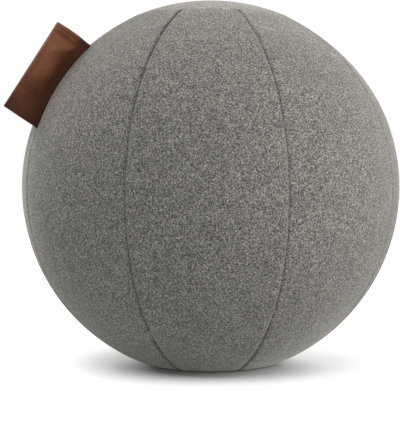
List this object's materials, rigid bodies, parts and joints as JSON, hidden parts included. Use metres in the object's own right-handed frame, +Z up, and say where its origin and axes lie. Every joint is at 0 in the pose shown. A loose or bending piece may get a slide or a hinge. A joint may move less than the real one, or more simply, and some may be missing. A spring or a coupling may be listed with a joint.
{
  "type": "sitting ball",
  "caption": "Round sitting ball: an inflated inner ball in a zipped grey felt cover of sewn gores, on a flat non-slip base, with a brown leather hand loop at one seam.",
  "frame": {"origin": "on the floor, at the middle of the base panel, under the ball's axis", "axes": "+Z up along the ball's axis, +Y towards the zip's seam, -X towards the hand loop's seam"},
  "size_m": [0.687, 0.6521, 0.621],
  "materials": {
    "felt": "matte",
    "thread": "matte",
    "leather": "satin",
    "grip_cloth": "matte",
    "board": "satin",
    "vinyl": "satin",
    "white_vinyl": "satin",
    "zip_tape": "matte",
    "zip_nylon": "satin",
    "zip_metal": "satin"
  },
  "bodies": {
    "ball_body": {"gore_1": "felt", "gore_2": "felt", "gore_3": "felt", "gore_4": "felt", "gore_5": "felt", "gore_6": "felt", "gore_7": "felt", "gore_8": "felt", "top_panel": "felt", "base_panel": "grip_cloth", "base_board": "board", "seam_stitching_1": "thread", "seam_stitching_2": "thread", "seam_stitching_4": "thread", "seam_stitching_6": "thread", "seam_stitching_7": "thread", "seam_stitching_8": "thread", "stitching_below_zip": "thread", "stitching_above_zip": "thread", "stitching_below_hand_loop": "thread", "stitching_above_hand_loop": "thread", "top_panel_stitching": "thread", "base_panel_stitching": "thread", "inner_ball": "vinyl", "valve_seat": "vinyl", "valve_plug": "white_vinyl", "zip_tape_left": "zip_tape", "zip_tape_right": "zip_tape", "zip_chain_left": "zip_nylon", "zip_chain_right": "zip_nylon", "zip_top_stop": "zip_metal", "zip_bottom_stop": "zip_metal", "hand_loop_root": "leather"},
    "slider_body": {"zip_slider": "zip_metal"},
    "pull_body": {"zip_pull": "zip_metal"},
    "loop_body": {"hand_loop": "leather"}
  },
  "joints": [
    {"name": "zip_travel", "type": "hinge", "parent": "ball_body", "child": "slider_body", "pos_m": [0, 0, 0.3], "axis": [1, 0, 0], "range_deg": [-55.9, 0]},
    {"name": "zip_pull_flip", "type": "hinge", "parent": "slider_body", "child": "pull_body", "pos_m": [0, 0.3252, 0.27715], "axis": [1, 0, 0], "range_deg": [0, 150]},
    {"name": "hand_loop_bend", "type": "hinge", "parent": "ball_body", "child": "loop_body", "pos_m": [-0.27215, 0, 0.48013], "axis": [0.5519, 0, 0.8339], "range_deg": [-70, 70], "stiffness_Nm_per_rad": 0.15}
  ]
}
